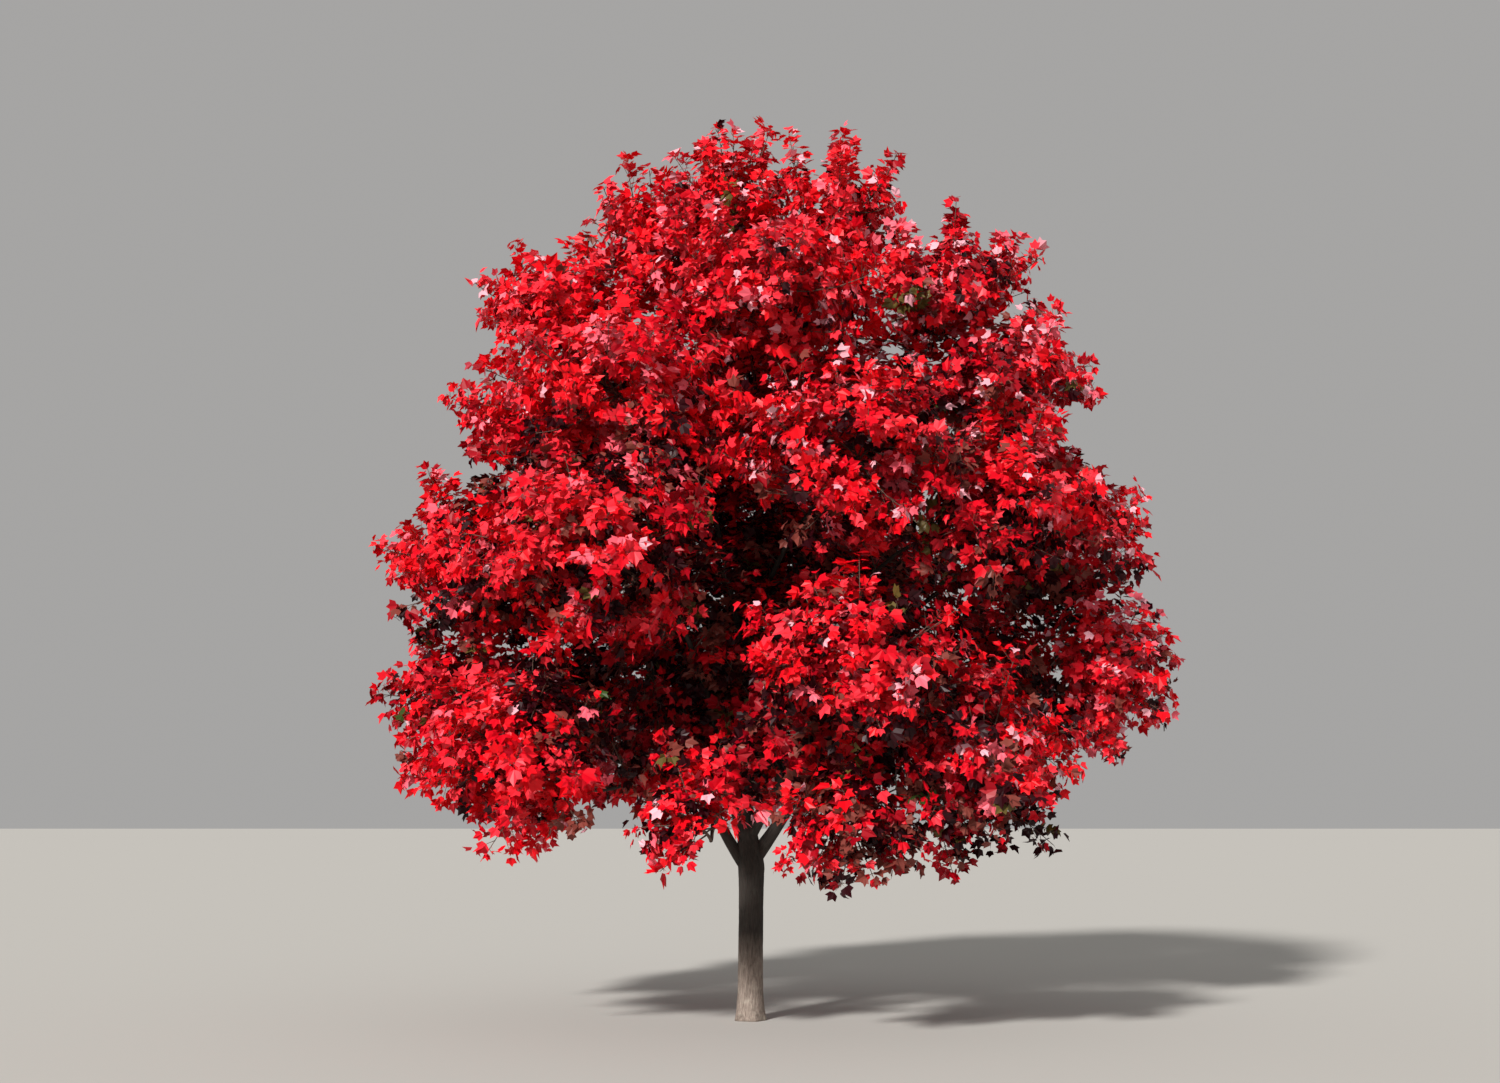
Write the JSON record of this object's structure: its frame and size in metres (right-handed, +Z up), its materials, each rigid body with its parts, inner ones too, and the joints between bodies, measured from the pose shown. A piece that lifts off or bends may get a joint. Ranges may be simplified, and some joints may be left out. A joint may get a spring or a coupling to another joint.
{
  "type": "red maple tree",
  "caption": "Young red maple in full autumn colour: a short straight trunk with a slight root flare, a leader, rising boughs and a broad oval crown of scarlet foliage.",
  "frame": {"origin": "middle of the flat cut under the trunk, at ground level", "axes": "+Z up along the trunk, -Y towards the side that the picture shows, +X to the right in the picture"},
  "size_m": [5.7375, 5.1488, 6.4863],
  "materials": {
    "bark": "rough, finely fissured grey-brown bark",
    "foliage": "matte autumn leaves, scarlet to maroon"
  },
  "bodies": {
    "root": {"trunk": "bark", "leader": "bark", "bough_skirt_1": "bark", "bough_skirt_2": "bark", "bough_skirt_3": "bark", "bough_skirt_4": "bark", "bough_skirt_5": "bark", "bough_skirt_6": "bark", "bough_skirt_7": "bark", "bough_skirt_8": "bark", "bough_skirt_9": "bark", "bough_belt_1": "bark", "bough_belt_2": "bark", "bough_belt_3": "bark", "bough_belt_4": "bark", "bough_belt_5": "bark", "bough_belt_6": "bark", "bough_belt_7": "bark", "bough_shoulder_1": "bark", "bough_shoulder_2": "bark", "bough_shoulder_3": "bark", "bough_shoulder_4": "bark", "bough_shoulder_5": "bark", "bough_shoulder_6": "bark", "bough_brow_1": "bark", "bough_brow_2": "bark", "bough_brow_3": "bark", "bough_brow_4": "bark", "bough_crest_1": "bark", "bough_crest_2": "bark", "foliage_skirt_1": "foliage", "foliage_skirt_2": "foliage", "foliage_skirt_3": "foliage", "foliage_skirt_4": "foliage", "foliage_skirt_5": "foliage", "foliage_skirt_6": "foliage", "foliage_skirt_7": "foliage", "foliage_skirt_8": "foliage", "foliage_skirt_9": "foliage", "foliage_belt_1": "foliage", "foliage_belt_2": "foliage", "foliage_belt_3": "foliage", "foliage_belt_4": "foliage", "foliage_belt_5": "foliage", "foliage_belt_6": "foliage", "foliage_belt_7": "foliage", "foliage_shoulder_1": "foliage", "foliage_shoulder_2": "foliage", "foliage_shoulder_3": "foliage", "foliage_shoulder_4": "foliage", "foliage_shoulder_5": "foliage", "foliage_shoulder_6": "foliage", "foliage_brow_1": "foliage", "foliage_brow_2": "foliage", "foliage_brow_3": "foliage", "foliage_brow_4": "foliage", "foliage_crest_1": "foliage", "foliage_crest_2": "foliage", "foliage_top": "foliage"}
  },
  "joints": []
}
